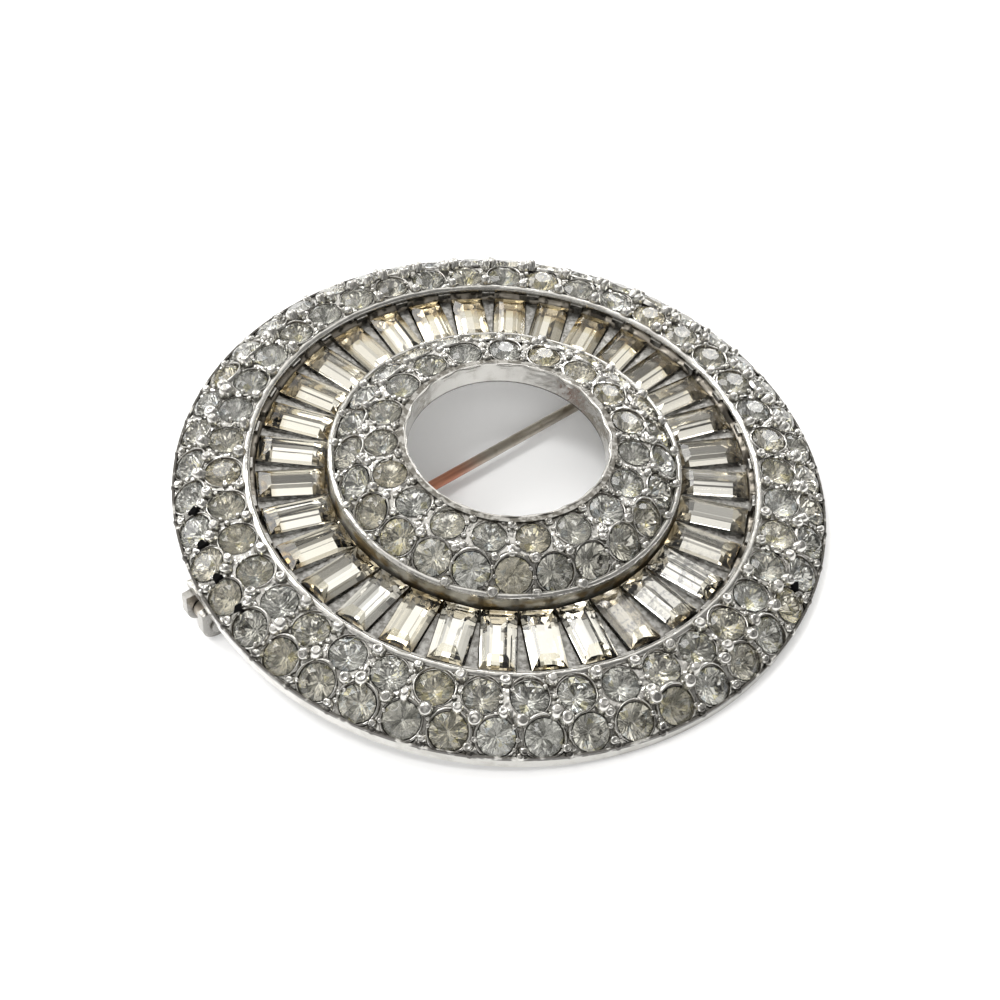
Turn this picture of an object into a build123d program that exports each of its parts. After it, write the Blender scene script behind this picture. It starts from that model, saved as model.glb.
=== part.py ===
"""Round domed brooch: a cast disc with two rings of round stones, a channel of baguettes and a pin.

The brooch lies on its back, propped by its hinge and its catch, as it does on a table. Its own
frame is the plane `brooch`: the origin at the middle of the back, local Z out of the front.
"""

from build123d import *
import os
from collections import namedtuple
from math import atan2, cos, degrees, pi, radians, sin, sqrt, tan

# Cast disc, sizes in millimetres and angles in degrees
rim_radius = 25.6
rim_height = 1.2
rim_undercut = 0.1
rim_lip = 0.17
cast_wall = 1.75
crest_height = 2.75
crest_tilt = 7.0
shoulder_tilt = 34.0
rail_width = 0.55
rail_height = 3.05
channel_floor = 0.45
foot_width = 0.42
foot_height = 3.7
foot_wall = 1.4
top_height = 5.48
top_tilt = 8.0
slope_tilt = 41.0
hole_bezel = 0.55
bezel_height = 0.18
hole_draft = 0.15

# Round stones: widths at the girdle, then the shares that the cut and the spacing follow
shoulder_stone = 2.7
crest_stone = 2.7
slope_stone = 2.75
top_stone = 2.55
shoulder_spacing = 0.58
crest_spacing = 0.56
slope_spacing = 0.22
top_spacing = 0.54
row_gap = 0.16
stone_land = 0.2
rim_land = 0.04
hole_land = 0.09
stone_sides = 12
table_share = 0.56
crown_share = 0.17
pavilion_share = 0.42
culet_share = 0.16
seat_clearance = 0.05
seat_rise = 0.1
grain_radius = 0.35
grain_inset = 0.08
shoulder_phase = 0.33
crest_phase = 0.26
slope_phase = 0.9
top_phase = 0.82

# Baguettes
baguette_length = 5.35
baguette_width = 2.65
baguette_gap = 0.06
baguette_phase = -0.14
baguette_tilt = -2.0
baguette_drop = 0.16
baguette_crown = 0.55
baguette_step = 0.33
baguette_pavilion = 1.0
baguette_inner_gap = 0.12
baguette_outer_gap = 0.48
side_bevel = 0.75
end_bevel = 1.1
keel_width = 0.6
fin_clearance = 0.07
fin_least = 0.16
fin_height = 1.65
post_depth = 0.25
post_height = 2.4

# Pin, hinge and catch behind the disc
pin_bearing = 39.6
pin_offset = 4.7
findings_drop = 3.6
wire_radius = 0.45
wire_point = 0.1
point_length = 7.0
root_radius = 0.62
root_length = 2.5
hinge_inset = 0.75
ear_radius = 1.4
ear_thickness = 0.66
eye_radius = 0.95
eye_width = 1.3
eye_clearance = 0.08
rivet_radius = 0.4
rivet_clearance = 0.03
running_clearance = 0.05
rivet_head = 0.2
rivet_head_radius = 0.75
pad_thickness = 0.5
pad_bite = 0.2
pad_margin = 0.3
hinge_pad_length = 2.8
catch_inset = 1.45
catch_length = 1.4
catch_cheek = 0.5
catch_clearance = 0.15
tip_beyond_catch = 0.8

Row = namedtuple("Row", "width spacing phase radius height tilt")


def outward(point, tilt, length):
    """The point reached from `point` by `length` along a section line that falls by `tilt`."""
    return point[0] + length * cos(radians(tilt)), point[1] - length * sin(radians(tilt))


def below(point, tilt, depth):
    """The point that lies `depth` under `point`, square to a section line that falls by `tilt`."""
    return point[0] - depth * sin(radians(tilt)), point[1] - depth * cos(radians(tilt))


def crossing(first, first_tilt, second, second_tilt):
    """Where two section lines meet, each given by a point and its fall."""
    fall_a = tan(radians(first_tilt))
    fall_b = tan(radians(second_tilt))
    rise = first[1] + fall_a * first[0] - second[1] - fall_b * second[0]
    radius = rise / (fall_a - fall_b)
    return radius, first[1] - fall_a * (radius - first[0])


# Section of the outer ring, from the rim inwards
shoulder_half = (shoulder_stone + row_gap) / 2
crest_half = (crest_stone + row_gap) / 2
lip_inner = rim_radius - rim_lip
shoulder_radius = lip_inner - (shoulder_stone / 2 + rim_land) * cos(radians(shoulder_tilt))
ridge_radius = shoulder_radius - shoulder_half * cos(radians(shoulder_tilt))
crest_radius = ridge_radius - crest_half * cos(radians(crest_tilt))
crest = (crest_radius, crest_height)
ridge = outward(crest, crest_tilt, crest_half)
shoulder = outward(ridge, shoulder_tilt, shoulder_half)
lip_foot = outward(shoulder, shoulder_tilt, shoulder_stone / 2 + rim_land)
rail_outer = crest_radius - (crest_stone / 2 + stone_land / 2) * cos(radians(crest_tilt))
rail_foot = outward(crest, crest_tilt, (rail_outer - crest_radius) / cos(radians(crest_tilt)))
rail_inner = rail_outer - rail_width

# Section of the baguette channel and of the inner ring
foot_radius = rail_inner - baguette_outer_gap - baguette_length - baguette_inner_gap
foot_inner = foot_radius - foot_width
slope_half = (slope_stone + row_gap) / 2
top_half = (top_stone + row_gap) / 2
slope_radius = foot_inner - (slope_stone + stone_land) / 2 * cos(radians(slope_tilt))
brow_radius = slope_radius - slope_half * cos(radians(slope_tilt))
top_radius = brow_radius - top_half * cos(radians(top_tilt))
top = (top_radius, top_height)
brow = outward(top, top_tilt, top_half)
slope = outward(brow, slope_tilt, slope_half)
foot_seam = outward(slope, slope_tilt, (slope_stone + stone_land) / 2)
bezel_outer = top_radius - (top_stone / 2 + hole_land) * cos(radians(top_tilt))
bezel_foot = outward(top, top_tilt, (bezel_outer - top_radius) / cos(radians(top_tilt)))
hole_radius = bezel_outer - hole_bezel
bezel_top = bezel_foot[1] + bezel_height

# Back of the casting: the front's lines, one wall lower
back_crest = below(crest, crest_tilt, cast_wall)
back_shoulder = below(shoulder, shoulder_tilt, cast_wall)
back_ridge = crossing(back_crest, crest_tilt, back_shoulder, shoulder_tilt)
back_rim = crossing(back_shoulder, shoulder_tilt, (0, 0), 0)
back_rail = outward(back_crest, crest_tilt, rail_outer + rail_width - back_crest[0])
back_slope = below(slope, slope_tilt, cast_wall)
back_top = below(top, top_tilt, cast_wall)
back_brow = crossing(back_top, top_tilt, back_slope, slope_tilt)
skirt_radius = foot_radius - foot_wall
back_foot = outward(back_brow, slope_tilt, (skirt_radius - back_brow[0]) / cos(radians(slope_tilt)))
back_hole = hole_radius - hole_draft
back_hole_height = back_top[1] + (back_top[0] - back_hole) * tan(radians(top_tilt))

# The lie of the brooch: it tips about the pin's line until the rim meets the table
hinge_width = eye_width + 2 * (eye_clearance + ear_thickness)
rim_foot = rim_radius - rim_undercut
tip_angle = atan2(findings_drop, rim_foot + pin_offset - hinge_width / 2)
pin_line = Vector(cos(radians(pin_bearing)), sin(radians(pin_bearing)), 0)
pin_side = Vector(-sin(radians(pin_bearing)), cos(radians(pin_bearing)), 0)
tip_axis = Axis((0, 0, 0), tuple(pin_line))
brooch = Plane(
    origin=(0, 0, rim_foot * sin(tip_angle)),
    x_dir=Vector(1, 0, 0).rotate(tip_axis, degrees(tip_angle)),
    z_dir=Vector(0, 0, 1).rotate(tip_axis, degrees(tip_angle)),
)
section = Plane(origin=brooch.origin, x_dir=brooch.x_dir, z_dir=-brooch.y_dir)
brooch_axis = Axis(brooch.origin, brooch.z_dir)


def raised(height):
    """The brooch's plane at a height over its back."""
    return brooch.offset(height)


def on_cone(radius, height, tilt, bearing):
    """A seat plane on the front, square to a surface that falls outwards by `tilt`."""
    turn = radians(bearing)
    lean = radians(tilt)
    out = brooch.x_dir * cos(turn) + brooch.y_dir * sin(turn)
    along = out * cos(lean) - brooch.z_dir * sin(lean)
    up = out * sin(lean) + brooch.z_dir * cos(lean)
    return Plane(origin=brooch.origin + out * radius + brooch.z_dir * height, x_dir=along, z_dir=up)


def count_in(row):
    """How many stones of a row fit round their circle."""
    return int(2 * pi * row.radius / (row.width + row.spacing))


def seats(row):
    """The seat planes of a row of stones."""
    pitch = 360 / count_in(row)
    return [
        on_cone(row.radius, row.height, row.tilt, pitch * (place + row.phase))
        for place in range(count_in(row))
    ]


def spandrels(row, along):
    """Planes midway between neighbours, `along` from the row's circle down the slope."""
    pitch = 360 / count_in(row)
    radius, height = outward((row.radius, row.height), row.tilt, along)
    return [
        on_cone(radius, height, row.tilt, pitch * (place + row.phase + 0.5))
        for place in range(count_in(row))
    ]


rows = {
    "shoulder_stones": Row(
        shoulder_stone, shoulder_spacing, shoulder_phase, *shoulder, shoulder_tilt
    ),
    "crest_stones": Row(crest_stone, crest_spacing, crest_phase, *crest, crest_tilt),
    "slope_stones": Row(slope_stone, slope_spacing, slope_phase, *slope, slope_tilt),
    "top_stones": Row(top_stone, top_spacing, top_phase, *top, top_tilt),
}


def round_stone(width):
    """A round stone about its girdle plane: table and crown facets above, pavilion below."""
    with BuildPart() as stone:
        with BuildSketch(Plane.XY):
            RegularPolygon(width / 2, stone_sides)
        with BuildSketch(Plane.XY.offset(width * crown_share)):
            RegularPolygon(width * table_share / 2, stone_sides)
        loft(ruled=True)
        with BuildSketch(Plane.XY):
            RegularPolygon(width / 2, stone_sides)
        with BuildSketch(Plane.XY.offset(-width * pavilion_share)):
            RegularPolygon(width * culet_share / 2, stone_sides)
        loft(ruled=True)
    return stone.part


def stone_seat(width):
    """The burred seat that a round stone drops into, with its clearance."""
    girdle = width / 2 + seat_clearance
    deep = -width * pavilion_share - seat_clearance
    with BuildPart() as seat:
        with BuildSketch(Plane.XZ):
            with BuildLine():
                Polyline(
                    (0, deep),
                    (width * culet_share / 2 + seat_clearance, deep),
                    (girdle, -seat_clearance),
                    (girdle, seat_rise),
                    (0, seat_rise),
                    close=True,
                )
            make_face()
        revolve(axis=Axis.Z)
    return seat.part


# Baguette channel: the count, the girdle's middle and the plane of each stone
baguette_start = foot_radius + baguette_inner_gap
baguette_count = int(2 * pi * baguette_start / (baguette_width + baguette_gap))
baguette_pitch = 360 / baguette_count
baguette_middle = baguette_start + baguette_length / 2
baguette_height = rail_height - baguette_drop - baguette_crown


def fin_half(radius):
    """Half the width of the metal left between two baguettes at a radius."""
    half_turn = radians(baguette_pitch / 2)
    return radius * tan(half_turn) - (baguette_width / 2 + fin_clearance) / cos(half_turn)


fin_start = (fin_least / 2 - fin_half(0)) / tan(radians(baguette_pitch / 2))
fin_bearing = baguette_pitch * (baguette_phase + 0.5)
post_start = rail_inner - post_depth
fin_end = rail_inner + rail_width / 2

# Pin frame: X along the pin towards its point, Y across it, origin on the hinge's axis
pivot_reach = sqrt((rim_foot - hinge_inset) ** 2 - pin_offset**2)
catch_reach = sqrt((rim_foot - catch_inset) ** 2 - pin_offset**2)
wire_depth = findings_drop - ear_radius
pivot = pin_side * pin_offset - pin_line * pivot_reach - Vector(0, 0, wire_depth)
pin_frame = Plane(
    origin=brooch.from_local_coords(pivot),
    x_dir=brooch.from_local_coords(pin_line) - brooch.origin,
    z_dir=brooch.z_dir,
)
pin_section = Plane(origin=pin_frame.origin, x_dir=pin_frame.x_dir, z_dir=-pin_frame.y_dir)
across_pin = Plane(origin=pin_frame.origin, x_dir=pin_frame.y_dir, z_dir=pin_frame.x_dir)
catch_start = pivot_reach + catch_reach - catch_length / 2
wire_end = catch_start + catch_length + tip_beyond_catch
taper_start = wire_end - point_length
pad_low = wire_depth - pad_thickness
catch_half = wire_radius + catch_clearance
catch_width = 2 * (catch_half + catch_cheek)
catch_foot = wire_depth - (rim_foot + pin_offset - catch_width / 2) * tan(tip_angle)

with BuildPart() as casting:
    with BuildSketch(section):
        with BuildLine():
            Polyline(
                (rim_foot, 0),
                (rim_radius, rim_height),
                (lip_inner, rim_height),
                lip_foot,
                ridge,
                rail_foot,
                (rail_outer, rail_height),
                (rail_inner, rail_height),
                (rail_inner, channel_floor),
                (foot_radius, channel_floor),
                (foot_radius, foot_height),
                (foot_inner, foot_height),
                foot_seam,
                brow,
                bezel_foot,
                (bezel_outer, bezel_top),
                (hole_radius, bezel_top),
                (back_hole, back_hole_height),
                back_brow,
                back_foot,
                (skirt_radius, 0),
                (back_rail[0], 0),
                back_rail,
                back_ridge,
                back_rim,
                close=True,
            )
        make_face()
    revolve(axis=brooch_axis)
    for row in rows.values():
        with Locations(*seats(row)):
            add(stone_seat(row.width), mode=Mode.SUBTRACT)
    with BuildSketch(raised(channel_floor)):
        with PolarLocations(0, baguette_count, start_angle=fin_bearing):
            Polygon(
                (fin_start, -fin_half(fin_start)),
                (fin_end, -fin_half(fin_end)),
                (fin_end, fin_half(fin_end)),
                (fin_start, fin_half(fin_start)),
                align=None,
            )
    extrude(amount=fin_height)
    with BuildSketch(raised(channel_floor)):
        with PolarLocations(0, baguette_count, start_angle=fin_bearing):
            Polygon(
                (post_start, -fin_half(post_start)),
                (fin_end, -fin_half(fin_end)),
                (fin_end, fin_half(fin_end)),
                (post_start, fin_half(post_start)),
                align=None,
            )
    extrude(amount=post_height)
    for row in rows.values():
        reach = row.width / 2 - grain_inset
        for side in (-reach, reach):
            with Locations(*spandrels(row, side)):
                Sphere(grain_radius)
    with BuildSketch(pin_frame.offset(pad_low)):
        with Locations((hinge_pad_length / 2 - ear_radius / 2, 0)):
            Rectangle(hinge_pad_length, hinge_width + 2 * pad_margin)
        with Locations((catch_start + catch_length / 2, 0)):
            Rectangle(catch_length + 2 * pad_margin, catch_width + 2 * pad_margin)
    extrude(amount=pad_thickness + pad_bite)
    with BuildSketch(pin_section):
        Circle(ear_radius)
        with Locations((0, pad_low / 2)):
            Rectangle(2 * ear_radius, pad_low)
    extrude(amount=hinge_width / 2, both=True)
    with BuildSketch(pin_section):
        with Locations((ear_radius, 0)):
            Rectangle(4 * ear_radius, 2 * pad_low)
        Circle(ear_radius)
    extrude(amount=eye_width / 2 + eye_clearance, both=True, mode=Mode.SUBTRACT)
    with BuildSketch(pin_section):
        Circle(rivet_radius + rivet_clearance)
    extrude(amount=hinge_width, both=True, mode=Mode.SUBTRACT)
    with BuildSketch(across_pin.offset(catch_start)):
        for side in (-1, 1):
            with Locations((side * (catch_half + catch_cheek / 2), (pad_low + catch_foot) / 2)):
                Rectangle(catch_cheek, pad_low - catch_foot)
    extrude(amount=catch_length)
casting.part.label = "brooch_body"

with BuildPart() as rivet:
    with BuildSketch(pin_section):
        Circle(rivet_radius)
    extrude(amount=hinge_width / 2 + rivet_head, both=True)
    for side in (-1, 1):
        start = side * (hinge_width / 2 + rivet_clearance)
        with BuildSketch(pin_section.offset(start)):
            Circle(rivet_head_radius)
        extrude(amount=side * (rivet_head - rivet_clearance))
rivet.part.label = "hinge_rivet"

with BuildPart() as stem:
    with BuildSketch(pin_section):
        Circle(eye_radius)
    extrude(amount=eye_width / 2, both=True)
    with BuildSketch(across_pin):
        Circle(root_radius)
    with BuildSketch(across_pin.offset(root_length)):
        Circle(wire_radius)
    loft()
    with BuildSketch(across_pin.offset(root_length)):
        Circle(wire_radius)
    extrude(amount=taper_start - root_length)
    with BuildSketch(across_pin.offset(taper_start)):
        Circle(wire_radius)
    with BuildSketch(across_pin.offset(wire_end)):
        Circle(wire_point)
    loft()
    with BuildSketch(pin_section):
        Circle(rivet_radius + running_clearance)
    extrude(amount=eye_width, both=True, mode=Mode.SUBTRACT)
stem.part.label = "pin_stem"

stone_rows = {}
for name, row in rows.items():
    cut_stone = round_stone(row.width)
    with BuildPart() as stone_rows[name]:
        with Locations(*seats(row)):
            add(cut_stone)
    stone_rows[name].part.label = name

with BuildPart() as baguette:
    with BuildSketch(Plane.XY):
        Rectangle(baguette_length, baguette_width)
    with BuildSketch(Plane.XY.offset(baguette_step)):
        Rectangle(baguette_length - end_bevel, baguette_width - side_bevel)
    loft(ruled=True)
    with BuildSketch(Plane.XY.offset(baguette_step)):
        Rectangle(baguette_length - end_bevel, baguette_width - side_bevel)
    with BuildSketch(Plane.XY.offset(baguette_crown)):
        Rectangle(baguette_length - 2 * end_bevel, baguette_width - 2 * side_bevel)
    loft(ruled=True)
    with BuildSketch(Plane.XY):
        Rectangle(baguette_length, baguette_width)
    with BuildSketch(Plane.XY.offset(-baguette_pavilion)):
        Rectangle(baguette_length - 2 * end_bevel, keel_width)
    loft(ruled=True)

baguettes = {}
for place in range(baguette_count):
    bearing = baguette_pitch * (place + baguette_phase)
    seat = on_cone(baguette_middle, baguette_height, baguette_tilt, bearing)
    with BuildPart() as set_baguette:
        with Locations(seat):
            add(baguette.part)
    set_baguette.part.label = f"baguette_{place + 1:02d}"
    baguettes[place] = set_baguette

os.makedirs("parts", exist_ok=True)
for piece in (casting, rivet, stem, *stone_rows.values(), *baguettes.values()):
    export_step(piece.part, f"parts/{piece.part.label}.step")
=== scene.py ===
import random
from math import atan2, cos, dist, hypot, pi, radians, sin

import bpy
from mathutils import Matrix, Vector
from mathutils.noise import noise as waver


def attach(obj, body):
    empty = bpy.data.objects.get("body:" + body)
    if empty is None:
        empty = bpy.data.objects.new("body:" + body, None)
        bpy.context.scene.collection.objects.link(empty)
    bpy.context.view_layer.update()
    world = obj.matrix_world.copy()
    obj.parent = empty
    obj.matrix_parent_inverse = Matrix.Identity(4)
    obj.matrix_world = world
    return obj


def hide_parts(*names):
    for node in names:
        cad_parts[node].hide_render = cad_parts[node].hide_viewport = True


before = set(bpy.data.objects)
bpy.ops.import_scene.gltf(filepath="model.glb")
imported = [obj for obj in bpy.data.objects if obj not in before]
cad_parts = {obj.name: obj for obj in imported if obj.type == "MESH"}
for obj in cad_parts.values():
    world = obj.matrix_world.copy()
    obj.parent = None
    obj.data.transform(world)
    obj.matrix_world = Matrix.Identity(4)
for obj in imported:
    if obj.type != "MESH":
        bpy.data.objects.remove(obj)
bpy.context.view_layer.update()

# The casting: one piece of bright white plated metal, with a smooth rim, two domed rings, a rail
# and a channel between them. The hinge and the catch are soldered on its back and prop one side up,
# so the whole brooch leans.
MM = 0.001
RIM_FOOT = 25.5
PIN_OFFSET = 4.7
FINDINGS_DROP = 3.6
HINGE_HALF = 1.39
PIN_BEARING = radians(39.6)
lean = atan2(FINDINGS_DROP, RIM_FOOT + PIN_OFFSET - HINGE_HALF)
pin_line = Vector((cos(PIN_BEARING), sin(PIN_BEARING), 0))
brooch = Matrix.Translation((0, 0, RIM_FOOT * sin(lean) * MM)) @ Matrix.Rotation(lean, 4, pin_line)

CLEAN_PLATE = (0.69, 0.68, 0.65)
GRIMY_PLATE = (0.48, 0.465, 0.43)
WORN_HINGE = (0.42, 0.41, 0.39)
DARK_FIN = (0.15, 0.145, 0.135)
PALE_FIN = (0.40, 0.395, 0.38)
FOOT_PLATE = (0.82, 0.80, 0.74)
BROWN_STAIN = (0.38, 0.28, 0.13)
# painted shade for the rim groove and the low band of the hole's wall
GROOVE_AND_HOLE_WALL_SHADE = (0.07, 0.065, 0.06)
# painted shade behind the hole's lip
LIP_BACK_SHADE = (0.16, 0.15, 0.13)
# painted shade in corners and creases, with grime
CORNER_SHADE_AND_GRIME = (0.12, 0.11, 0.09)
CORNER_REACH = 0.45
BUMP_DEPTH = 0.07

# Where the casting's zones begin and end, each as the two ends of a soft edge in mm: radii first,
# and heights over the back last.
CHANNEL_INNER, CHANNEL_OUTER, CHANNEL_TOP = (13.66, 13.76), (19.5, 19.66), (2.75, 2.95)
FOOT_INNER, FOOT_OUTER, FOOT_TOP = (13.5, 13.7), (13.9, 14.6), (3.3, 3.6)
STAIN_TOP = (3.0, 3.6)
HINGE_INNER, HINGE_TOP = (23.5, 24.5), (-0.2, 0.1)
GROOVE_INNER, GROOVE_FLOOR = (25.30, 25.38), (0.87, 0.93)
HOLE_WALL, HOLE_WALL_TOP = (7.95, 8.1), (4.06, 4.14)
LIP_BACK_INNER, LIP_BACK_OUTER, LIP_BACK_FLOOR = (7.93, 8.02), (8.6, 8.9), (5.4, 5.5)


class Lead:
    """A socket of a material, which adds Math nodes where it meets a number or another socket."""

    def __init__(self, finish, socket):
        self.finish = finish
        self.socket = socket

    def _math(self, operation, *values):
        return self.finish.node("ShaderNodeMath", {"operation": operation}, dict(enumerate(values)))

    def __add__(self, other):
        return self._math("ADD", self, other)

    __radd__ = __add__

    def __mul__(self, other):
        return self._math("MULTIPLY", self, other)

    __rmul__ = __mul__

    def __sub__(self, other):
        return self._math("SUBTRACT", self, other)

    def __rsub__(self, other):
        return self._math("SUBTRACT", other, self)

    def __gt__(self, other):
        return self._math("GREATER_THAN", self, other)

    def __lt__(self, other):
        return self._math("LESS_THAN", self, other)

    def clamped(self):
        return self.finish.node("ShaderNodeClamp", {}, {"Value": self})

    def step(self, low, high):
        return self.finish.node(
            "ShaderNodeMapRange",
            {"interpolation_type": "SMOOTHSTEP"},
            {"Value": self, "From Min": low, "From Max": high},
        )


class Finish:
    """A material, or the tree of nodes that is given, with one method that adds any node to it."""

    def __init__(self, name, tree=None):
        if tree is None:
            self.material = bpy.data.materials.new(name)
            self.material.use_nodes = True
            tree = self.material.node_tree
        self.tree = tree
        self.tree.nodes.clear()

    def node(self, kind, settings, sockets, out=0):
        made = self.tree.nodes.new(kind)
        for key, value in settings.items():
            setattr(made, key, value)
        for key, value in sockets.items():
            socket = made.inputs[key]
            if isinstance(value, Lead):
                self.tree.links.new(value.socket, socket)
            elif isinstance(value, tuple) and socket.type == "RGBA":
                socket.default_value = (*value, 1)
            else:
                socket.default_value = value
        return Lead(self, made.outputs[out]) if made.outputs else None

    def surface(self, **sockets):
        named = {key.replace("_", " "): value for key, value in sockets.items()}
        shader = self.node("ShaderNodeBsdfPrincipled", {}, named)
        self.node("ShaderNodeOutputMaterial", {}, {"Surface": shader})
        return self.material

    def place(self):
        return self.node("ShaderNodeTexCoord", {}, {}, "Object")

    def vectors(self, operation, first, second=(0, 0, 0), out="Vector"):
        return self.node(
            "ShaderNodeVectorMath", {"operation": operation}, {0: first, 1: second}, out
        )

    def noise(self, size_mm, detail=2.0, roughness=0.5):
        scale = {"Scale": 1 / (size_mm * MM), "Detail": detail, "Roughness": roughness}
        return self.node("ShaderNodeTexNoise", {}, {"Vector": self.place(), **scale})

    def blend(self, factor, first, second):
        return self.node(
            "ShaderNodeMix", {"data_type": "RGBA"}, {0: factor, 6: first, 7: second}, 2
        )

    def bump(self, height, depth_mm, strength):
        return self.node(
            "ShaderNodeBump",
            {},
            {"Strength": strength, "Distance": depth_mm * MM, "Height": height},
        )

    def ring_place(self):
        """Radius and height over the back, both in mm, in the brooch's own frame."""
        offset = self.vectors("SUBTRACT", self.place(), tuple(brooch.translation))
        axis = tuple(brooch.to_3x3() @ Vector((0, 0, 1)))
        height = self.vectors("DOT_PRODUCT", offset, axis, "Value")
        radius = self.vectors("LENGTH", self.vectors("CROSS_PRODUCT", offset, axis), out="Value")
        return radius * (1 / MM), height * (1 / MM)


def seat(radius, height, tilt, bearing):
    """Where a stone sits: its own Z is square to a surface that falls by `tilt` degrees."""
    out = Matrix.Rotation(bearing, 4, "Z") @ Matrix.Translation((radius * MM, 0, height * MM))
    return brooch @ out @ Matrix.Rotation(radians(tilt), 4, "Y")


def piece_of(name, points, faces, material, smooth=False):
    """One mesh object from points in metres, which moves with the brooch."""
    mesh = bpy.data.meshes.new(name)
    mesh.from_pydata(points, [], faces)
    mesh.polygons.foreach_set("use_smooth", [smooth] * len(mesh.polygons))
    mesh.materials.append(material)
    piece = bpy.data.objects.new(name, mesh)
    bpy.context.scene.collection.objects.link(piece)
    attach(piece, "brooch")
    return piece


plating = Finish("bright_white_plating")
radius, height = plating.ring_place()
grime = plating.noise(size_mm=1.3, detail=3.0, roughness=0.6).step(0.46, 0.68)
# painted shade: an ambient-occlusion mask darkens the plating in its corners and creases, standing
# also for grime there
corner = plating.node(
    "ShaderNodeAmbientOcclusion", {"samples": 2}, {"Distance": CORNER_REACH * MM}, "AO"
)
corner = (1 - corner.step(0.30, 0.85)).clamped()
channel = radius.step(*CHANNEL_INNER) * (1 - radius.step(*CHANNEL_OUTER))
channel = channel * (1 - height.step(*CHANNEL_TOP))
fin_patches = plating.noise(size_mm=0.5, detail=3.0, roughness=0.7).step(0.4, 0.6)
foot = radius.step(*FOOT_INNER) * (1 - radius.step(*FOOT_OUTER)) * (1 - height.step(*FOOT_TOP))
stain = foot * plating.noise(size_mm=2.0, detail=2.0, roughness=0.6).step(0.42, 0.58)
stain = (stain * (1 - height.step(*STAIN_TOP))).clamped()
toward_hinge = plating.vectors("DOT_PRODUCT", plating.place(), tuple(-pin_line / MM), "Value")
hinge_wear = toward_hinge.step(*HINGE_INNER) * (1 - height.step(*HINGE_TOP))
# painted shade: an irregular dark line in the groove between the outer stones and the rim, and a
# dark band low on the hole's wall
groove = radius.step(*GROOVE_INNER) * height.step(*GROOVE_FLOOR)
groove = groove * plating.noise(size_mm=1.1, detail=2.0, roughness=0.6).step(0.32, 0.46)
hole_wall = (1 - radius.step(*HOLE_WALL)) * (1 - height.step(*HOLE_WALL_TOP))
# painted shade: a patchy dark band on the flat top just behind the hole's lip
lip_back = radius.step(*LIP_BACK_INNER) * (1 - radius.step(*LIP_BACK_OUTER))
lip_patches = plating.noise(size_mm=0.6, detail=2.0, roughness=0.6).step(0.4, 0.6)
lip_back = lip_back * height.step(*LIP_BACK_FLOOR) * (0.45 + 0.5 * lip_patches)

shine = plating.blend(grime * 0.5, CLEAN_PLATE, GRIMY_PLATE)
for zone, tone in (
    (hinge_wear, WORN_HINGE),
    (channel * 0.9, plating.blend(fin_patches, DARK_FIN, PALE_FIN)),
    (foot * (1 - stain) * 0.9, FOOT_PLATE),
    (stain * 0.85, BROWN_STAIN),
    ((groove + hole_wall).clamped() * 0.9, GROOVE_AND_HOLE_WALL_SHADE),
    (lip_back, LIP_BACK_SHADE),
    (corner * 0.7, CORNER_SHADE_AND_GRIME),
):
    shine = plating.blend(zone, shine, tone)
ripple = plating.noise(size_mm=0.7)
chatter = channel * plating.noise(size_mm=0.25, detail=2.0, roughness=0.6)
plating_material = plating.surface(
    Base_Color=shine,
    Metallic=1.0,
    Roughness=0.15 + 0.12 * grime + 0.15 * channel + 0.2 * foot + 0.1 * hinge_wear,
    Normal=plating.bump(ripple + 0.8 * chatter, BUMP_DEPTH, 0.85),
)

for node in ("brooch_body", "hinge_rivet"):
    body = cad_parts[node]
    body.data.materials.clear()
    body.data.materials.append(plating_material)

# The rail and the foot of the inner ring: narrow rounded edges of the casting, burnished over by
# hand so that they waver a little.
EDGES = {
    # name: (inner radius, outer radius, height of its sides, rise)
    "rail_edge": (19.655, 20.265, 2.96, 0.24),
    "foot_edge": (13.285, 13.765, 3.62, 0.20),
}
EDGE_STEPS = 420
EDGE_SECTION = 9
EDGE_FULLNESS = 0.7


def hoop(name, section_at, around, material):
    """A band right round the brooch, from the radii and heights of its section at each angle."""
    points, faces = [], []
    for k in range(around):
        angle = 2 * pi * k / around
        section = list(section_at(angle))
        for r, z in section:
            points.append(brooch @ (Vector((r * cos(angle), r * sin(angle), z)) * MM))
    span = len(section)
    for k in range(around):
        for j in range(span - 1):
            a = k * span + j
            c = (k + 1) % around * span + j
            faces.append([a, a + 1, c + 1, c])
    return piece_of(name, points, faces, material, smooth=True)


for name, (inner, outer, low, rise) in EDGES.items():

    def edge_section(angle):
        here = Vector((cos(angle), sin(angle), 0.3)) * outer
        drift = 0.06 * waver(here * 0.5) + 0.03 * waver(here * 1.6)
        swell = 1 + 0.35 * waver(here * 0.7 + Vector((9, 0, 0)))
        for j in range(EDGE_SECTION):
            across = j / (EDGE_SECTION - 1)
            arch = sin(pi * across)
            r = inner + (outer - inner) * across + drift * arch
            yield r, low + rise * swell * arch**EDGE_FULLNESS

    edge = hoop(name, edge_section, EDGE_STEPS, plating_material)

# The lip of the hole: the casting's inner edge, pushed over towards the stones with a tool. It is
# thin and scalloped, with one scallop between each two stones of the inner row.
LIP_SECTION = (
    # radius, height over the back, share of the scallops
    (7.82, 5.40, 0.3),
    (7.80, 5.72, 1.0),
    (7.83, 5.84, 1.0),
    (7.90, 5.88, 1.0),
    (7.98, 5.84, 0.9),
    (8.10, 5.76, 0.4),
    (8.24, 5.72, 0.0),
)
LIP_RADIUS = 7.9
LIP_TOP = 5.97
LIP_STEPS = 380
SCALLOPS = 19
SCALLOP_PHASE = 0.32


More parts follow.
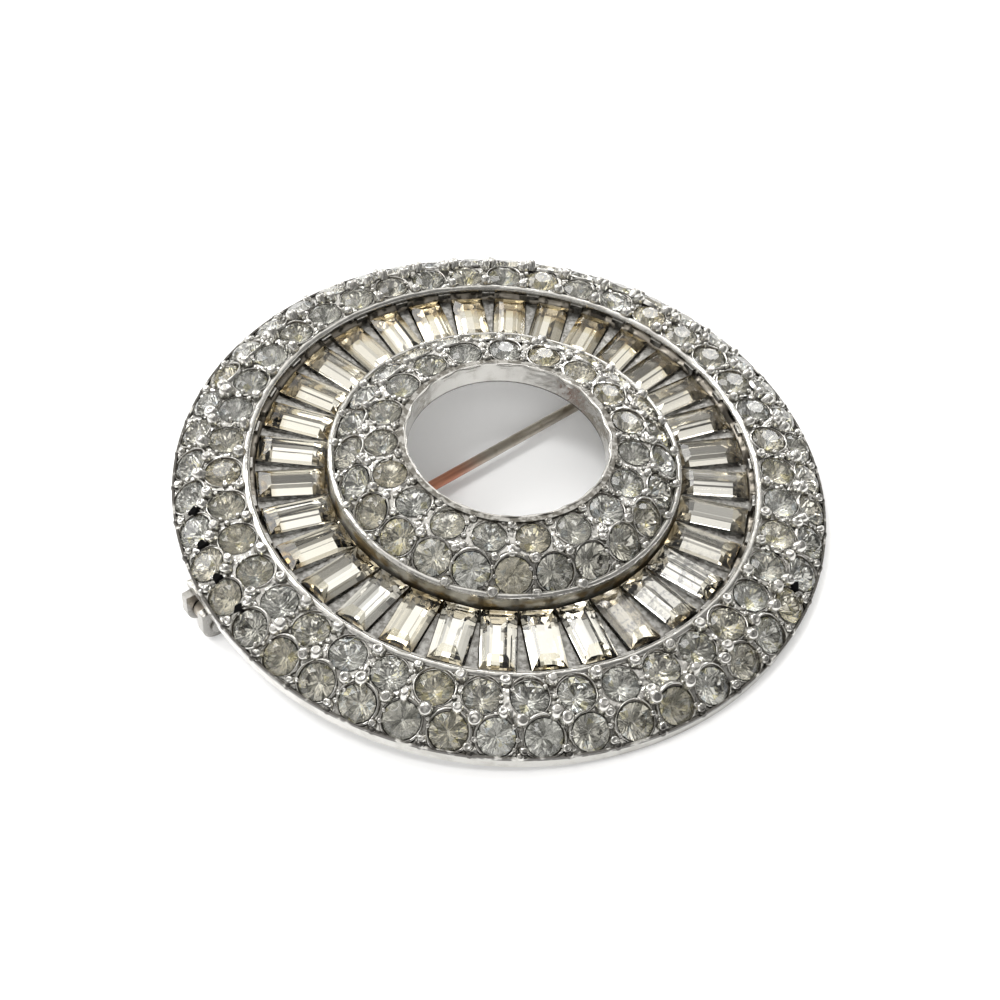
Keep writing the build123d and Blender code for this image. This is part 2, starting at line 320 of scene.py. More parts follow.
def lip_section(angle):
    spot = Vector((cos(angle), sin(angle), 0)) * LIP_RADIUS
    scallop = cos(SCALLOPS * (angle - 2 * pi * SCALLOP_PHASE / SCALLOPS))
    drift = 0.07 * scallop + 0.10 * waver(spot * 0.8)
    rise = 0.05 * scallop + 0.08 * waver(spot * 0.7 + Vector((5, 0, 0)))
    for r, z, share in LIP_SECTION:
        yield r + drift * share, min(z + rise * share, LIP_TOP)


lip = hoop("hole_lip", lip_section, LIP_STEPS, plating_material)

# The round stones: machine-cut crystals with a foil behind each pavilion, set in four rows into
# burred cups. They are uneven in turn, depth and tint, and the foil has dulled to a warm grey.
random.seed(7)
ROUND_ROWS = {
    # name: (count, phase, radius, height, tilt, width)
    "shoulder_stones": (46, 0.33, 24.278, 1.776, 34.0, 2.70),
    "crest_stones": (41, 0.26, 21.673, 2.750, 7.0, 2.70),
    "slope_stones": (25, 0.90, 12.200, 4.337, 41.0, 2.75),
    "top_stones": (19, 0.82, 9.760, 5.480, 8.0, 2.55),
}
ROUND_CUT = (
    # corners, share of the stone's radius, height as a share of its width, turn in corners
    (8, 0.54, 0.165, 0.0),
    (8, 0.79, 0.105, 0.5),
    (16, 1.0, 0.012, 0.0),
    (16, 1.0, -0.012, 0.0),
    (8, 0.34, -0.32, 0.5),
    (8, 0.07, -0.42, 0.0),
)
ROUND_SHARE_OF_SEAT = 0.995
ROUND_SINK = 0.02
ROUND_TIP = 3
CLEAR_ROUND, WARM_ROUND = (0.97, 0.975, 0.96), (0.96, 0.94, 0.86)
YELLOW_FIRE, BLUE_FIRE = (0.98, 0.90, 0.42), (0.62, 0.76, 0.95)
ROUND_SILVER, WARM_SILVER = (0.98, 0.98, 0.96), (0.97, 0.94, 0.86)
SHADED_FACET = (0.24, 0.24, 0.22)
DULL_FOIL, FOIL_SPOT = (0.6, 0.6, 0.57), (0.25, 0.24, 0.21)


def round_cut(width):
    """Points of one round stone, the facets of its crown, and the facets that carry the foil."""
    points, starts = [], []
    for corners, share, height, turn in ROUND_CUT:
        starts.append(len(points))
        for k in range(corners):
            angle = 2 * pi * (k + turn) / corners
            reach = width / 2 * share
            points.append(Vector((reach * cos(angle), reach * sin(angle), height * width)))
    table, star, girdle, belt, low, culet = starts
    crown = [[table + k for k in range(8)]]
    foil = [[culet + k for k in reversed(range(8))]]
    for k in range(8):
        after = (k + 1) % 8
        before = (k - 1) % 8
        mid = girdle + 2 * k + 1
        crown.append([table + k, star + k, table + after])
        crown.append([table + k, star + before, girdle + 2 * k, star + k])
        crown.append([star + k, girdle + 2 * k, mid])
        crown.append([star + k, mid, girdle + 2 * after])
        foil.append([culet + k, low + k, belt + 2 * k, low + before])
        foil.append([low + k, belt + 2 * k + 1, belt + 2 * k])
        foil.append([low + k, belt + 2 * after, belt + 2 * k + 1])
        foil.append([culet + k, culet + after, low + k])
    for k in range(16):
        after = (k + 1) % 16
        foil.append([girdle + k, belt + k, belt + after, girdle + after])
    return points, crown, foil


def tint_faces(mesh, tints):
    """What differs from stone to stone or from facet to facet, written on the facets."""
    for name, values in tints.items():
        layer = mesh.attributes.new(name, "FLOAT", "FACE")
        layer.data.foreach_set("value", values)


def read_tint(finish, name):
    return finish.node("ShaderNodeAttribute", {"attribute_name": name}, {}, "Fac")


crystal = Finish("round_crystal")
fire = read_tint(crystal, "fire")
clear = crystal.blend(read_tint(crystal, "warmth"), CLEAR_ROUND, WARM_ROUND)
# painted fire: a few crown facets are tinted yellow or blue, painted glints of dispersed light
clear = crystal.blend((fire > 0.93) * 0.75, clear, YELLOW_FIRE)
clear = crystal.blend((fire < 0.06) * 0.6, clear, BLUE_FIRE)
crystal_material = crystal.surface(
    Base_Color=clear,
    Roughness=0.005 + 0.03 * crystal.noise(size_mm=0.4).step(0.5, 0.8),
    IOR=1.56,
    Transmission_Weight=1.0,
)

foil = Finish("round_foil")
dullness = read_tint(foil, "dullness")
silver = foil.blend(read_tint(foil, "warmth"), ROUND_SILVER, WARM_SILVER)
silver = foil.blend((read_tint(foil, "fire") < 0.26) * 0.75, silver, SHADED_FACET)
silver = foil.blend(dullness * 0.35, silver, DULL_FOIL)
spots = foil.noise(size_mm=0.5, detail=3.0, roughness=0.6).step(0.56, 0.7)
foil_material = foil.surface(
    Base_Color=foil.blend(spots * (0.05 + 0.35 * dullness), silver, FOIL_SPOT),
    Metallic=0.9,
    Roughness=0.03 + 0.12 * dullness,
)

for name, (count, phase, radius_mm, height_mm, tilt, width) in ROUND_ROWS.items():
    points, faces, metal, warm, dull, sparks = [], [], [], [], [], []
    base, crown, foil_faces = round_cut(width)
    for place in range(count):
        bearing = 2 * pi * (place + phase) / count
        lie = seat(radius_mm, height_mm - ROUND_SINK * random.random(), tilt, bearing)
        lie = lie @ Matrix.Rotation(radians(random.uniform(-ROUND_TIP, ROUND_TIP)), 4, "X")
        lie = lie @ Matrix.Rotation(radians(random.uniform(-ROUND_TIP, ROUND_TIP)), 4, "Y")
        lie = lie @ Matrix.Rotation(random.uniform(0, pi / 4), 4, "Z")
        start = len(points)
        points += [lie @ (point * MM * ROUND_SHARE_OF_SEAT) for point in base]
        stone_warmth = random.random() ** 1.5
        stone_dullness = random.random() ** 2
        for group, slot in ((crown, 0), (foil_faces, 1)):
            for face in group:
                faces.append([start + corner for corner in face])
                metal.append(slot)
                warm.append(stone_warmth)
                dull.append(stone_dullness)
                sparks.append(random.random() if len(face) < 8 else 0.5)
    row = piece_of(name.replace("stones", "crystals"), points, faces, crystal_material)
    row.data.materials.append(foil_material)
    row.data.polygons.foreach_set("material_index", metal)
    tint_faces(row.data, {"warmth": warm, "dullness": dull, "fire": sparks})
    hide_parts(name)

# The metal between the stones: the casting's own, lumpy where the graver pushed it about. It is a
# skin that lies on each ring from its outer foot over its ridge, and is open under every stone.
RINGS = {
    # name: (outer foot, ridge, inner foot), each a radius and height in mm, and the rows
    "outer": (
        ((25.43, 0.999), (23.093, 2.576), (20.24, 2.926)),
        ("shoulder_stones", "crest_stones"),
    ),
    "inner": (
        ((13.31, 3.371), (11.121, 5.275), (8.42, 5.668)),
        ("slope_stones", "top_stones"),
    ),
}
BED_STEP = 0.115
BED_OPENING = 0.12
BED_LEVEL_UP_TO = 0.25
BED_LOWEST, BED_HIGHEST = -0.12, 0.24


def bed(name, profile, rows):
    """One ring's skin, as seams round the ring that are joined by faces."""
    outer_foot, ridge, inner_foot = profile
    seams = []
    for start, end, row in ((outer_foot, ridge, rows[0]), (ridge, inner_foot, rows[1])):
        tilt = ROUND_ROWS[row][4]
        steps = max(2, round(dist(start, end) / BED_STEP))
        for k in range(steps + (row == rows[1])):
            t = k / steps
            r, z = (a + (b - a) * t for a, b in zip(start, end))
            seams.append((r, z, tilt))
    around = round(2 * pi * (outer_foot[0] + inner_foot[0]) / 2 / BED_STEP)
    points, open_at = [], []
    for r, z, tilt in seams:
        up = Vector((sin(radians(tilt)), 0, cos(radians(tilt))))
        for k in range(around):
            angle = 2 * pi * k / around
            gaps = []
            for row in rows:
                count, phase, radius_mm, height_mm, _, width = ROUND_ROWS[row]
                place = (angle / (2 * pi) * count - phase) % 1
                across = (place if place < 0.5 else place - 1) * 2 * pi / count * r
                down = dist((r, z), (radius_mm, height_mm))
                gaps.append(hypot(across, down) - width / 2)
            spot = Vector((r * cos(angle), r * sin(angle), z))
            lift = 0.02 + max(0.0, min(gaps) - BED_LEVEL_UP_TO) * 0.2
            lift += 0.26 * waver(spot * 1.7) + 0.07 * waver(spot * 4.5)
            lift = max(BED_LOWEST, min(lift, BED_HIGHEST))
            raised = (Vector((r, 0, z)) + up * lift) * MM
            points.append(brooch @ (Matrix.Rotation(angle, 4, "Z") @ raised))
            open_at.append(min(gaps) < BED_OPENING)
    faces = []
    for j in range(len(seams) - 1):
        for k in range(around):
            a = j * around + k
            b = j * around + (k + 1) % around
            face = [a, b, b + around, a + around]
            if not any(open_at[corner] for corner in face):
                faces.append(face)
    used = sorted({corner for face in faces for corner in face})
    index = {corner: new for new, corner in enumerate(used)}
    kept_points = [points[corner] for corner in used]
    kept_faces = [[index[corner] for corner in face] for face in faces]
    return piece_of(name, kept_points, kept_faces, plating_material, smooth=True)


for name, (profile, rows) in RINGS.items():
    skin = bed(f"{name}_ring_relief", profile, rows)

# The settings: a collar of metal stands round each stone, burred up and worn unevenly, its inside
# painted near black as the shade in the gap round the stone, with some grime. Beads raised by a
# beading tool hold the stones down on both sides. Some keep the tool's dimple, and others are worn
# to a blunt point.
COLLAR_PROFILE = (
    # reach beyond the stone's edge, height over the bed
    (0.05, -0.30),
    (0.07, 0.14),
    (0.12, 0.23),
    (0.19, 0.235),
    (0.26, 0.16),
    (0.31, 0.03),
    (0.37, -0.10),
)
COLLAR_SIDES = 32
COLLAR_LOBES = 8
COLLAR_SWELL = (0.0, 1.25)
COLLAR_WORN = (0.2, 0.9)
COLLAR_TOP = 0.27
COLLAR_UPHILL_SPREAD = 0.13
RIM_LIMIT = 25.43
BEAD_RINGS = (
    # radius, height: a rounded bead with the dimple of the beading tool in its top
    (0.18, 0.76),
    (0.34, 0.86),
    (0.46, 0.93),
    (0.60, 0.92),
    (0.75, 0.78),
    (0.88, 0.52),
    (0.98, 0.15),
    (1.0, -0.30),
)
BEAD_SIDES = 14
BEAD_DIMPLE = 0.72
BEAD_HEIGHT = 0.95
BEAD_SIZES = (0.78, 1.1)
BEAD_SQUEEZE = (0.8, 1.1)
BEAD_TIP = 14
BEAD_STRAY, SMALL_BEAD_STRAY = 0.07, 0.14
BEAD_PEAKS = (0.0, 0.55, 0.35)
FAR_PEAK = 0.35
SETTINGS = {
    # row: (inset, size and rise of its outer beads, the same of its inner beads, and how much
    # higher the collars stand towards the hole)
    "shoulder_stones": ((0.50, 0.42, 0.04), (0.12, 0.58, 0.16), 0.13),
    "crest_stones": ((0.10, 0.56, 0.16), (0.12, 0.54, 0.12), 0.10),
    "slope_stones": ((0.10, 0.50, 0.10), (0.12, 0.40, 0.06), 0.10),
    "top_stones": ((0.10, 0.32, 0.06), (0.12, 0.34, 0.04), 0.0),
}
SMALL_BEADS = (
    # nearest and furthest place out from the middle of the gap, size, rise
    (-0.3, 0.3, 0.24, 0.06),
    (-1.0, -0.4, 0.22, 0.08),
    (0.4, 0.9, 0.22, 0.08),
)
CUP_BLACK, CUP_BROWN = (0.035, 0.03, 0.025), (0.16, 0.14, 0.11)

# painted shade: the collars' inner walls are near black with brown patches, for the shade in the
# gap round each stone and the grime in it
gap = Finish("cup_shade_and_grime")
gap_material = gap.surface(
    Base_Color=gap.blend(gap.noise(size_mm=0.5, detail=3.0).step(0.4, 0.65), CUP_BLACK, CUP_BROWN),
    Metallic=0.3,
    Roughness=0.6,
)


def collar(points, faces, shaded, lie, half, limit, uphill, strength):
    """One collar, added to the lists. It swells and sinks in lobes and stands higher uphill."""
    start = len(points)
    section = len(COLLAR_PROFILE)
    swell = [strength * random.uniform(*COLLAR_SWELL) for k in range(COLLAR_LOBES)]
    for k in range(COLLAR_SIDES):
        angle = 2 * pi * k / COLLAR_SIDES
        share = COLLAR_LOBES * k / COLLAR_SIDES
        lobe = int(share)
        lift = swell[lobe] + (swell[(lobe + 1) % COLLAR_LOBES] - swell[lobe]) * (share - lobe)
        crest = max(0.0, -cos(angle)) ** 2
        wall = COLLAR_PROFILE[0][0]
        for reach, height in COLLAR_PROFILE:
            spread = half + wall + (reach - wall) * lift
            rise = min(height * lift, COLLAR_TOP) if height > 0 else height
            if reach > wall:
                spread += COLLAR_UPHILL_SPREAD * crest
                rise += uphill * crest
            out = min(spread * cos(angle), limit)
            points.append(lie @ (Vector((out, spread * sin(angle), rise)) * MM))
    for k in range(COLLAR_SIDES):
        for j in range(section - 1):
            a = start + k * section + j
            c = start + (k + 1) % COLLAR_SIDES * section + j
            faces.append([a, a + 1, c + 1, c])
            shaded.append(int(j == 0))


def bead_shape():
    """One bead as rings of points, before it is pressed out of shape."""
    points = [Vector((0, 0, BEAD_DIMPLE))]
    for reach, height in BEAD_RINGS:
        for k in range(BEAD_SIDES):
            angle = 2 * pi * k / BEAD_SIDES
            points.append(Vector((reach * cos(angle), reach * sin(angle), height)))
    faces = [[0, 1 + k, 1 + (k + 1) % BEAD_SIDES] for k in range(BEAD_SIDES)]
    for r in range(len(BEAD_RINGS) - 1):
        for k in range(BEAD_SIDES):
            a = 1 + r * BEAD_SIDES + k
            b = 1 + r * BEAD_SIDES + (k + 1) % BEAD_SIDES
            faces.append([a, a + BEAD_SIDES, b + BEAD_SIDES, b])
    return points, faces


one_bead, one_bead_faces = bead_shape()
collar_points, collar_faces, collar_gaps, bead_points, bead_faces = [], [], [], [], []
for row, (count, phase, radius_mm, height_mm, tilt, width) in ROUND_ROWS.items():
    (outer_inset, *outer_bead), (inner_inset, *inner_bead), uphill = SETTINGS[row]
    half = width / 2
    limit = (RIM_LIMIT - radius_mm) / cos(radians(tilt))
    for place in range(count):
        bearing = 2 * pi * (place + phase) / count
        lie = seat(radius_mm, height_mm, tilt, bearing)
        unworn = row == "shoulder_stones" and sin(bearing) < -0.5
        strength = 1.0 if unworn else random.uniform(*COLLAR_WORN)
        collar(collar_points, collar_faces, collar_gaps, lie, half, limit, uphill, strength)
        peak = 0.0 if row == "top_stones" else BEAD_PEAKS[place % 3]
        if row == "crest_stones" and sin(bearing) > 0.1:
            peak += FAR_PEAK
        beads_here = [
            (inner_inset - half, *inner_bead, BEAD_STRAY),
            (half - outer_inset, *outer_bead, BEAD_STRAY),
        ]
        for nearest, furthest, reach, rise in SMALL_BEADS:
            beads_here.append((random.uniform(nearest, furthest), reach, rise, SMALL_BEAD_STRAY))
        for along, reach, rise, stray in beads_here:
            at = seat(
                radius_mm + along * cos(radians(tilt)),
                height_mm - along * sin(radians(tilt)),
                tilt,
                2 * pi * (place + phase + 0.5 + random.uniform(-stray, stray)) / count,
            )
            at = at @ Matrix.Translation((0, 0, rise * MM))
            at = at @ Matrix.Rotation(random.uniform(0, pi), 4, "Z")
            at = at @ Matrix.Rotation(radians(random.uniform(-BEAD_TIP, BEAD_TIP)), 4, "X")
            size = Vector((reach, reach, reach * BEAD_HEIGHT)) * random.uniform(*BEAD_SIZES)
            size.x *= random.uniform(*BEAD_SQUEEZE)
            start = len(bead_points)
            for point in one_bead:
                top = point.z + peak * max(0.0, 1 - point.xy.length)
                pressed = Vector((point.x * size.x, point.y * size.y, top * size.z))
                bead_points.append(at @ (pressed * MM))
            bead_faces += [[start + corner for corner in face] for face in one_bead_faces]

collars = piece_of("stone_collars", collar_points, collar_faces, plating_material, smooth=True)
collars.data.materials.append(gap_material)
collars.data.polygons.foreach_set("material_index", collar_gaps)
beads = piece_of("setting_beads", bead_points, bead_faces, plating_material, smooth=True)

# The lost fillings: places on the shoulder where the metal between two stones has fallen out. Each
# is a small four-sided piece painted pure black, painted shade that stands for the dark pit.
PIT_PLACES = (24, 25, 26, 27, 42)
PIT_CORNERS = ((0.42, 0.0), (-0.1, 0.36), (-0.34, 0.1), (-0.2, -0.34))
PIT_RINGS = ((1.05, 0.34), (1.3, -0.05))
PIT_PEAK = 0.36
PIT_UPHILL = 0.35

pit_points, pit_faces = [], []
count, phase, radius_mm, height_mm, tilt, _ = ROUND_ROWS["shoulder_stones"]
for place in PIT_PLACES:
    at = seat(
        radius_mm - PIT_UPHILL * cos(radians(tilt)),
        height_mm + PIT_UPHILL * sin(radians(tilt)),
        tilt,
        2 * pi * (place + phase + 0.5) / count,
    )
    at = at @ Matrix.Rotation(random.uniform(0, pi), 4, "Z")
    start = len(pit_points)
    pit_points.append(at @ (Vector((0, 0, PIT_PEAK)) * MM))
    for spread, height in PIT_RINGS:
        for x, y in PIT_CORNERS:
            pit_points.append(at @ (Vector((x * spread, y * spread, height)) * MM))
    for k in range(4):
        after = (k + 1) % 4
        pit_faces.append([start, start + 1 + k, start + 1 + after])
        pit_faces.append([start + 1 + k, start + 5 + k, start + 5 + after, start + 1 + after])
black = Finish("pit_shade")
# painted shade: pure black with almost no shine
black_material = black.surface(
    Base_Color=(0.004, 0.004, 0.004), Roughness=0.9, Specular_IOR_Level=0.05
)
pit = piece_of("empty_settings", pit_points, pit_faces, black_material)

# The baguettes: long step-cut crystals laid side by side in the channel, each with a foil that has
# browned at its ends. They sit slightly uneven, so each catches the light for itself.
BAGUETTE_COUNT = 32
BAGUETTE_PHASE = -0.14
BAGUETTE_SEAT = (16.529, 2.34, -2.0)
BAGUETTE_LENGTH = 5.35
BAGUETTE_WIDTH = 2.65
BAGUETTE_SHARE_OF_SEAT = 0.99
SMEARED = {
    # place: (dullness, smears), for the four cloudy stones at the near right
    27: (0.85, 0.9),
    28: (0.15, 0.9),
    29: (0.0, 0.8),
    30: (0.45, 0.3),
}
BAGUETTE_ROLL, BAGUETTE_PITCH = 2.2, 0.8
KEEL_STRAY = 0.25
TABLE_INSET = (0.85, 1.1)
CLEAR_STEP, WARM_STEP = (0.98, 0.98, 0.97), (0.96, 0.95, 0.88)
OLIVE_BEVEL = (0.74, 0.69, 0.50)
STEP_SILVER, WARM_STEP_SILVER = (0.97, 0.965, 0.94), (0.93, 0.91, 0.86)
DULL_STEP_FOIL = (0.50, 0.47, 0.41)
GREY_SMEAR = (0.36, 0.36, 0.38)
BROWNED_END = (0.56, 0.45, 0.27)
INNER_END = (13.9, 15.0)


def baguette_cut(length, width, keel, table_inset):
    """Points and facets of one baguette, step cut above and below its girdle and with an
    off-centre keel, and which facets are the bevels of its outer end."""
    steps = (
        # length lost, width lost, height, share of the keel's shift
        (2.20 * table_inset, 1.50 * table_inset, 0.55, 0.3),
        (1.10 * table_inset, 0.75 * table_inset, 0.33, 0.15),
        (0.0, 0.0, 0.03, 0.0),
        (0.0, 0.0, -0.03, 0.0),
        (1.00, 0.80, -0.42, 0.4),
        (2.20, 2.05, -1.0, 1.0),
    )
    points = []
    for short, narrow, height, share in steps:
        x = (length - short) / 2
        y = (width - narrow) / 2
        shift = keel * share
        points += [Vector((x, shift - y, height)), Vector((x, shift + y, height))]
        points += [Vector((-x, shift + y, height)), Vector((-x, shift - y, height))]
    crown = [[0, 1, 2, 3]]
    foil = [[23, 22, 21, 20]]
    for level in range(5):
        for k in range(4):
            a = 4 * level + k
            b = 4 * level + (k + 1) % 4
            (crown if level < 2 else foil).append([a, a + 4, b + 4, b])
    bevels = [float(k == 0) for level in range(2) for k in range(4)]
    at_end = [0.0] + bevels + [0.0] * len(foil)
    return points, crown, foil, at_end


step_crystal = Finish("baguette_crystal")
warmth = read_tint(step_crystal, "warmth")
# the outer-end bevels are tinted olive: a painted warm reflection from the sides, deeper where the
# stone has yellowed
bevel = read_tint(step_crystal, "bevel") * (0.6 + 0.4 * warmth)
clear = step_crystal.blend(warmth, CLEAR_STEP, WARM_STEP)
step_crystal_material = step_crystal.surface(
    Base_Color=step_crystal.blend(bevel, clear, OLIVE_BEVEL),
    Roughness=0.01 + 0.03 * step_crystal.noise(size_mm=0.5, detail=3.0).step(0.55, 0.8),
    IOR=1.54,
    Transmission_Weight=1.0,
)

step_foil = Finish("baguette_foil")
warmth = read_tint(step_foil, "warmth")
dullness = read_tint(step_foil, "dullness")
radius, height = step_foil.ring_place()
inner_end = 1 - radius.step(*INNER_END)
inner_end = inner_end * step_foil.noise(size_mm=1.2, detail=3.0).step(0.35, 0.6)
outer_end = radius.step(18.4 - 1.2 * warmth, 18.9 - 0.6 * warmth)
browned = ((inner_end + 0.85 * outer_end) * (0.5 + 0.5 * warmth)).clamped()
silver = step_foil.blend(warmth, STEP_SILVER, WARM_STEP_SILVER)
silver = step_foil.blend(dullness * 0.75, silver, DULL_STEP_FOIL)
smear = step_foil.noise(size_mm=0.6, detail=4.0, roughness=0.65).step(0.46, 0.66)
silver = step_foil.blend(smear * read_tint(step_foil, "smears"), silver, GREY_SMEAR)
step_foil_material = step_foil.surface(
    Base_Color=step_foil.blend(browned * 0.8, silver, BROWNED_END),
    Metallic=1.0,
    Roughness=0.02 + 0.12 * dullness,
)

for place in range(BAGUETTE_COUNT):
    bearing = 2 * pi * (place + BAGUETTE_PHASE) / BAGUETTE_COUNT
    lie = seat(*BAGUETTE_SEAT, bearing)
    roll = radians(random.uniform(-BAGUETTE_ROLL, BAGUETTE_ROLL))
    pitch = radians(random.uniform(-BAGUETTE_PITCH, BAGUETTE_PITCH))
    lie = lie @ Matrix.Rotation(roll, 4, "X") @ Matrix.Rotation(pitch, 4, "Y")
    keel = random.uniform(-KEEL_STRAY, KEEL_STRAY)
    table_inset = random.uniform(*TABLE_INSET)
    base, crown, foil_faces, at_end = baguette_cut(
        BAGUETTE_LENGTH, BAGUETTE_WIDTH, keel, table_inset
    )
    points = [lie @ (point * MM * BAGUETTE_SHARE_OF_SEAT) for point in base]
    stone = piece_of(
        f"baguette_crystal_{place + 1:02d}", points, crown + foil_faces, step_crystal_material
    )
    stone.data.materials.append(step_foil_material)
    metal = [0] * len(crown) + [1] * len(foil_faces)
    stone.data.polygons.foreach_set("material_index", metal)
    # the far and right-hand stones have dulled more, and the near left ones have yellowed
    worn = 0.28 + 0.32 * sin(bearing) + 0.12 * cos(bearing) + random.uniform(-0.1, 0.2)
    worn, smears = SMEARED.get(place, (max(0.0, min(worn, 0.7)), 0.0))
    warm = 0.35 * random.random()
    warm += 0.65 * max(0.0, sin(bearing), -1.1 * cos(bearing) * random.random())
    tints = {"warmth": warm, "dullness": worn, "smears": smears}
    tints = {name: [value] * len(metal) for name, value in tints.items()}
    tint_faces(stone.data, {**tints, "bevel": at_end})
    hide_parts(f"baguette_{place + 1:02d}")

# The ledge at the outer ends of the baguettes: solder and cement pushed up against the rail, rough
# and grey-brown, with holes where it never filled.
LEDGE_SECTION = (
    # radius, height over the back
    (19.70, 2.65),
    (19.62, 2.52),
    (19.50, 2.45),
    (19.38, 2.40),
    (19.29, 2.25),
    (19.28, 1.70),
)
LEDGE_RADIUS = 19.5
LEDGE_STEPS = 520
LEDGE_HOLE = 0.9
LEDGE_DARK, LEDGE_PALE = (0.05, 0.045, 0.035), (0.33, 0.30, 0.255)

ledge = Finish("rough_solder")
crumbs = ledge.noise(size_mm=0.9, detail=3.0, roughness=0.55)
ledge_material = ledge.surface(
    Base_Color=ledge.blend(crumbs.step(0.38, 0.52), LEDGE_DARK, LEDGE_PALE),
    Metallic=0.85,
    Roughness=0.42,
    Normal=ledge.bump(crumbs, 0.06, 0.7),
)


def ledge_section(angle):
    spot = Vector((cos(angle), sin(angle), 0)) * LEDGE_RADIUS
    dip = 0.28 * waver(spot * 0.9) + 0.12 * waver(spot * 2.7)
    hole = LEDGE_HOLE if waver(spot * 0.8 + Vector((0, 0, 7))) > 0.33 else 0.0
    for j, (r, z) in enumerate(LEDGE_SECTION):
        inside = 0 < j < len(LEDGE_SECTION) - 1
        yield r, z + dip * min(j, 3) / 3 - (hole if inside else 0.0)


solder = hoop("channel_ledge", ledge_section, LEDGE_STEPS, ledge_material)

# The pin: drawn steel wire riveted in the hinge, dulled by wear, with a copper tinge where its
# plating has rubbed off near the hinge.
WIRE_STEEL = (0.50, 0.46, 0.40)
WIRE_COPPER = (0.52, 0.24, 0.16)
WIRE_GRIME = (0.30, 0.24, 0.18)
COPPER_FROM, COPPER_TO = (-17.0, -14.0), (-1.5, 3.0)

wire = Finish("worn_pin_wire")
along = wire.vectors("DOT_PRODUCT", wire.place(), tuple(pin_line), "Value") * (1 / MM)
copper = along.step(*COPPER_FROM) * (1 - along.step(*COPPER_TO))
tone = wire.blend(copper, WIRE_STEEL, WIRE_COPPER)
tone = wire.blend(wire.noise(size_mm=1.2, detail=3.0).step(0.45, 0.7) * 0.6, tone, WIRE_GRIME)
drawn = wire.noise(size_mm=0.3, detail=3.0, roughness=0.6)
wire_material = wire.surface(
    Base_Color=tone,
    Metallic=1.0,
    Roughness=0.28 + 0.2 * drawn,
    Normal=wire.bump(drawn, 0.02, 0.6),
)
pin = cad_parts["pin_stem"]
pin.data.materials.clear()
pin.data.materials.append(wire_material)

# The table: a plain white sheet that the brooch lies on, smooth and matt. It glows very slightly,
# painted light that lifts its shadows and runs its far parts out to white.
TABLE_HALF = 3.0
TABLE_CORNERS = ((-1, -1), (1, -1), (1, 1), (-1, 1))
TABLE_LOW, TABLE_HIGH = (0.92, 0.92, 0.92), (0.94, 0.94, 0.94)

sheet = Finish("white_table")
sheet_material = sheet.surface(
    Base_Color=sheet.blend(sheet.noise(size_mm=40.0), TABLE_LOW, TABLE_HIGH),
    Roughness=0.6,
    Specular_IOR_Level=0.2,
    # painted light: a slight glow of the table itself
    Emission_Color=(1.0, 1.0, 1.0),
    Emission_Strength=0.10,
)
floor_mesh = bpy.data.meshes.new("table")
floor_corners = [(x * TABLE_HALF, y * TABLE_HALF, 0) for x, y in TABLE_CORNERS]
floor_mesh.from_pydata(floor_corners, [], [(0, 1, 2, 3)])
floor_mesh.materials.append(sheet_material)
floor = bpy.data.objects.new("table", floor_mesh)
bpy.context.scene.collection.objects.link(floor)

# The camera: it looks down at the brooch from the front, at the photo's angle. Its place was found
# in the brooch's own frame, so it is set there first and then leans with the brooch.
FOCAL_PX = 1600.0
FRAME_PX = 1000
SENSOR_MM = 36
CENTRE = Vector((0.15, -1.05, 126.7))
AXIS_ELEVATION = radians(49.37)
AXIS_ROLL = radians(7.39)
axis = Vector(
    (
        sin(AXIS_ROLL) * cos(AXIS_ELEVATION),
        -cos(AXIS_ROLL) * cos(AXIS_ELEVATION),
        -sin(AXIS_ELEVATION),
    )
)
side = (Vector((1, 0, 0)) - axis * axis.x).normalized()
away = axis.cross(side)
seen = Matrix((side, away, axis))
turned = brooch.to_3x3() @ seen
right, down, ahead = (turned @ Vector(unit) for unit in ((1, 0, 0), (0, 1, 0), (0, 0, 1)))
eye = brooch @ (seen @ -CENTRE * MM)
camera_data = bpy.data.cameras.new("camera")
camera_data.sensor_width = SENSOR_MM
camera_data.lens = FOCAL_PX / FRAME_PX * SENSOR_MM
camera_data.clip_start = 0.001
camera = bpy.data.objects.new("camera", camera_data)
camera.matrix_world = Matrix.Translation(eye) @ Matrix((right, -down, -ahead)).transposed().to_4x4()
bpy.context.scene.collection.objects.link(camera)
bpy.context.scene.camera = camera

# The tent: white cloth on all sides, brighter overhead and at the back, darker on the right and in
# a few folds, and open towards the camera.
TENT_WHITE = (1.0, 0.985, 0.955)
scene = bpy.context.scene
scene.view_settings.view_transform = "Standard"
scene.cycles.max_bounces = 9
scene.cycles.transmission_bounces = 8
scene.cycles.glossy_bounces = 7
scene.cycles.diffuse_bounces = 1
scene.cycles.light_sampling_threshold = 0.03
scene.cycles.caustics_reflective = True
scene.cycles.caustics_refractive = True

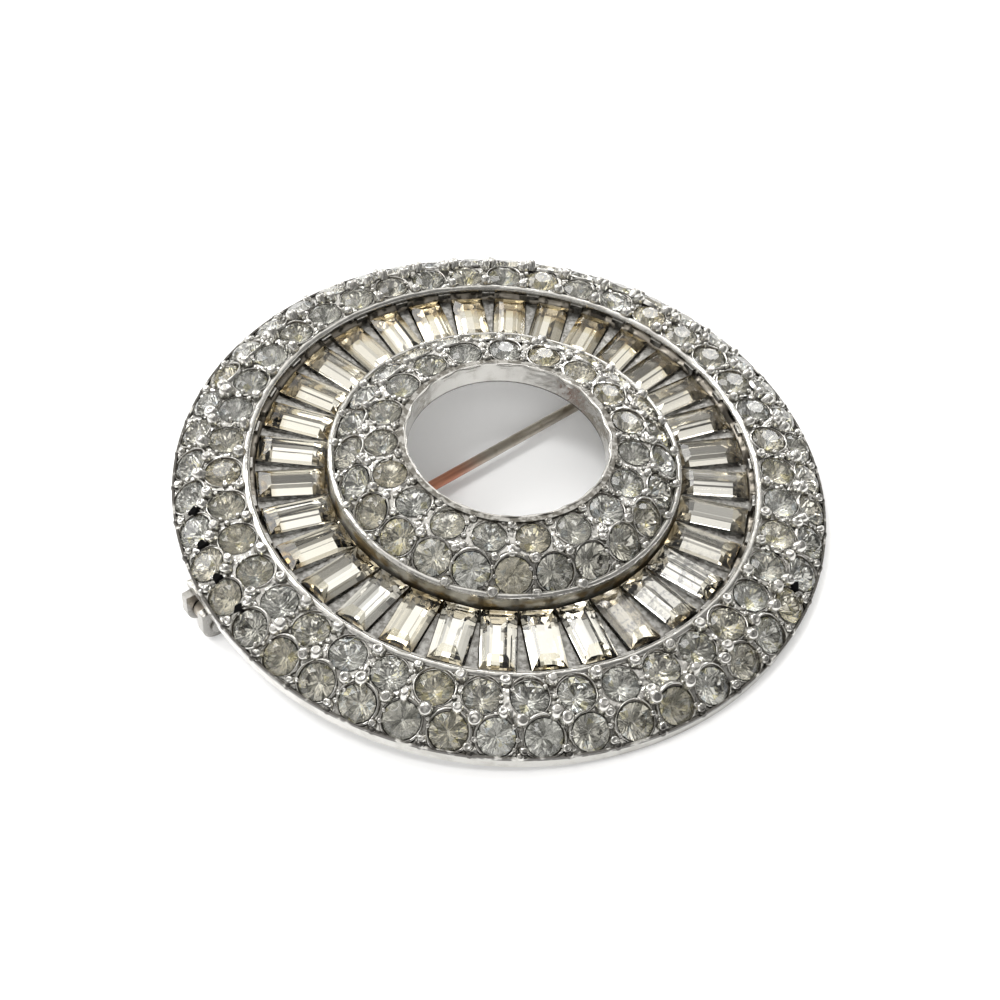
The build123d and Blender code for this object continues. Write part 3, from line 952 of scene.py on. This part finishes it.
world = bpy.data.worlds.new("tent")
scene.world = world
world.use_nodes = True
tent = Finish("tent", world.node_tree)
looking = tent.node("ShaderNodeTexCoord", {}, {}, "Generated")
opening = tent.vectors("DOT_PRODUCT", looking, tuple(-ahead), "Value").step(0.55, 0.86)
sideways, deep, upright = (
    tent.node("ShaderNodeSeparateXYZ", {}, {0: looking}, out) for out in ("X", "Y", "Z")
)
ceiling = upright.step(0.86, 0.90)
back_wall = deep.step(0.20, 0.32) * upright.step(0.30, 0.42)
front = 1 - deep.step(-0.2, 0.1)
left_side = 1 - sideways.step(-0.55, -0.1)
right_side = sideways.step(0.05, 0.5)
folds = tent.node("ShaderNodeTexNoise", {}, {"Vector": looking, "Scale": 2.6, "Detail": 1.0})
glow = 0.58 + 0.7 * ceiling + 0.7 * back_wall * (1 - ceiling) + 0.12 * front + 0.22 * left_side
glow = glow * (1 - 0.65 * folds.step(0.55, 0.6)) * (1 - 0.48 * right_side)
background = tent.node(
    "ShaderNodeBackground", {}, {"Color": TENT_WHITE, "Strength": glow * (1 - 0.32 * opening)}
)
tent.node("ShaderNodeOutputWorld", {}, {"Surface": background})

# The lamps: two soft boxes that show in the metal and the stones, and two at the front that light
# the table and throw the shadow but don't show in them.
LAMPS = {
    # name: (place and size in metres, watts, shows in metal and stones)
    "left_softbox": ((-0.5, 0.35, 0.6), (0.5, 0.5), 3.5, True),
    "back_softbox": ((0.25, 0.6, 0.45), (0.3, 0.15), 0.8, True),
    "front_fill": ((0.0, -1.2, 0.8), (1.0, 1.0), 12.0, False),
    "front_key": ((-0.4, -0.3, 1.2), (0.3, 0.3), 5.0, False),
}
for name, (spot, size, power, shows) in LAMPS.items():
    data = bpy.data.lights.new(name, "AREA")
    data.shape = "RECTANGLE"
    data.size, data.size_y = size
    data.energy = power
    lamp = bpy.data.objects.new(name, data)
    lamp.location = spot
    lamp.rotation_euler = (-Vector(spot)).to_track_quat("-Z", "Y").to_euler()
    lamp.visible_glossy = shows
    lamp.visible_transmission = shows
    bpy.context.scene.collection.objects.link(lamp)
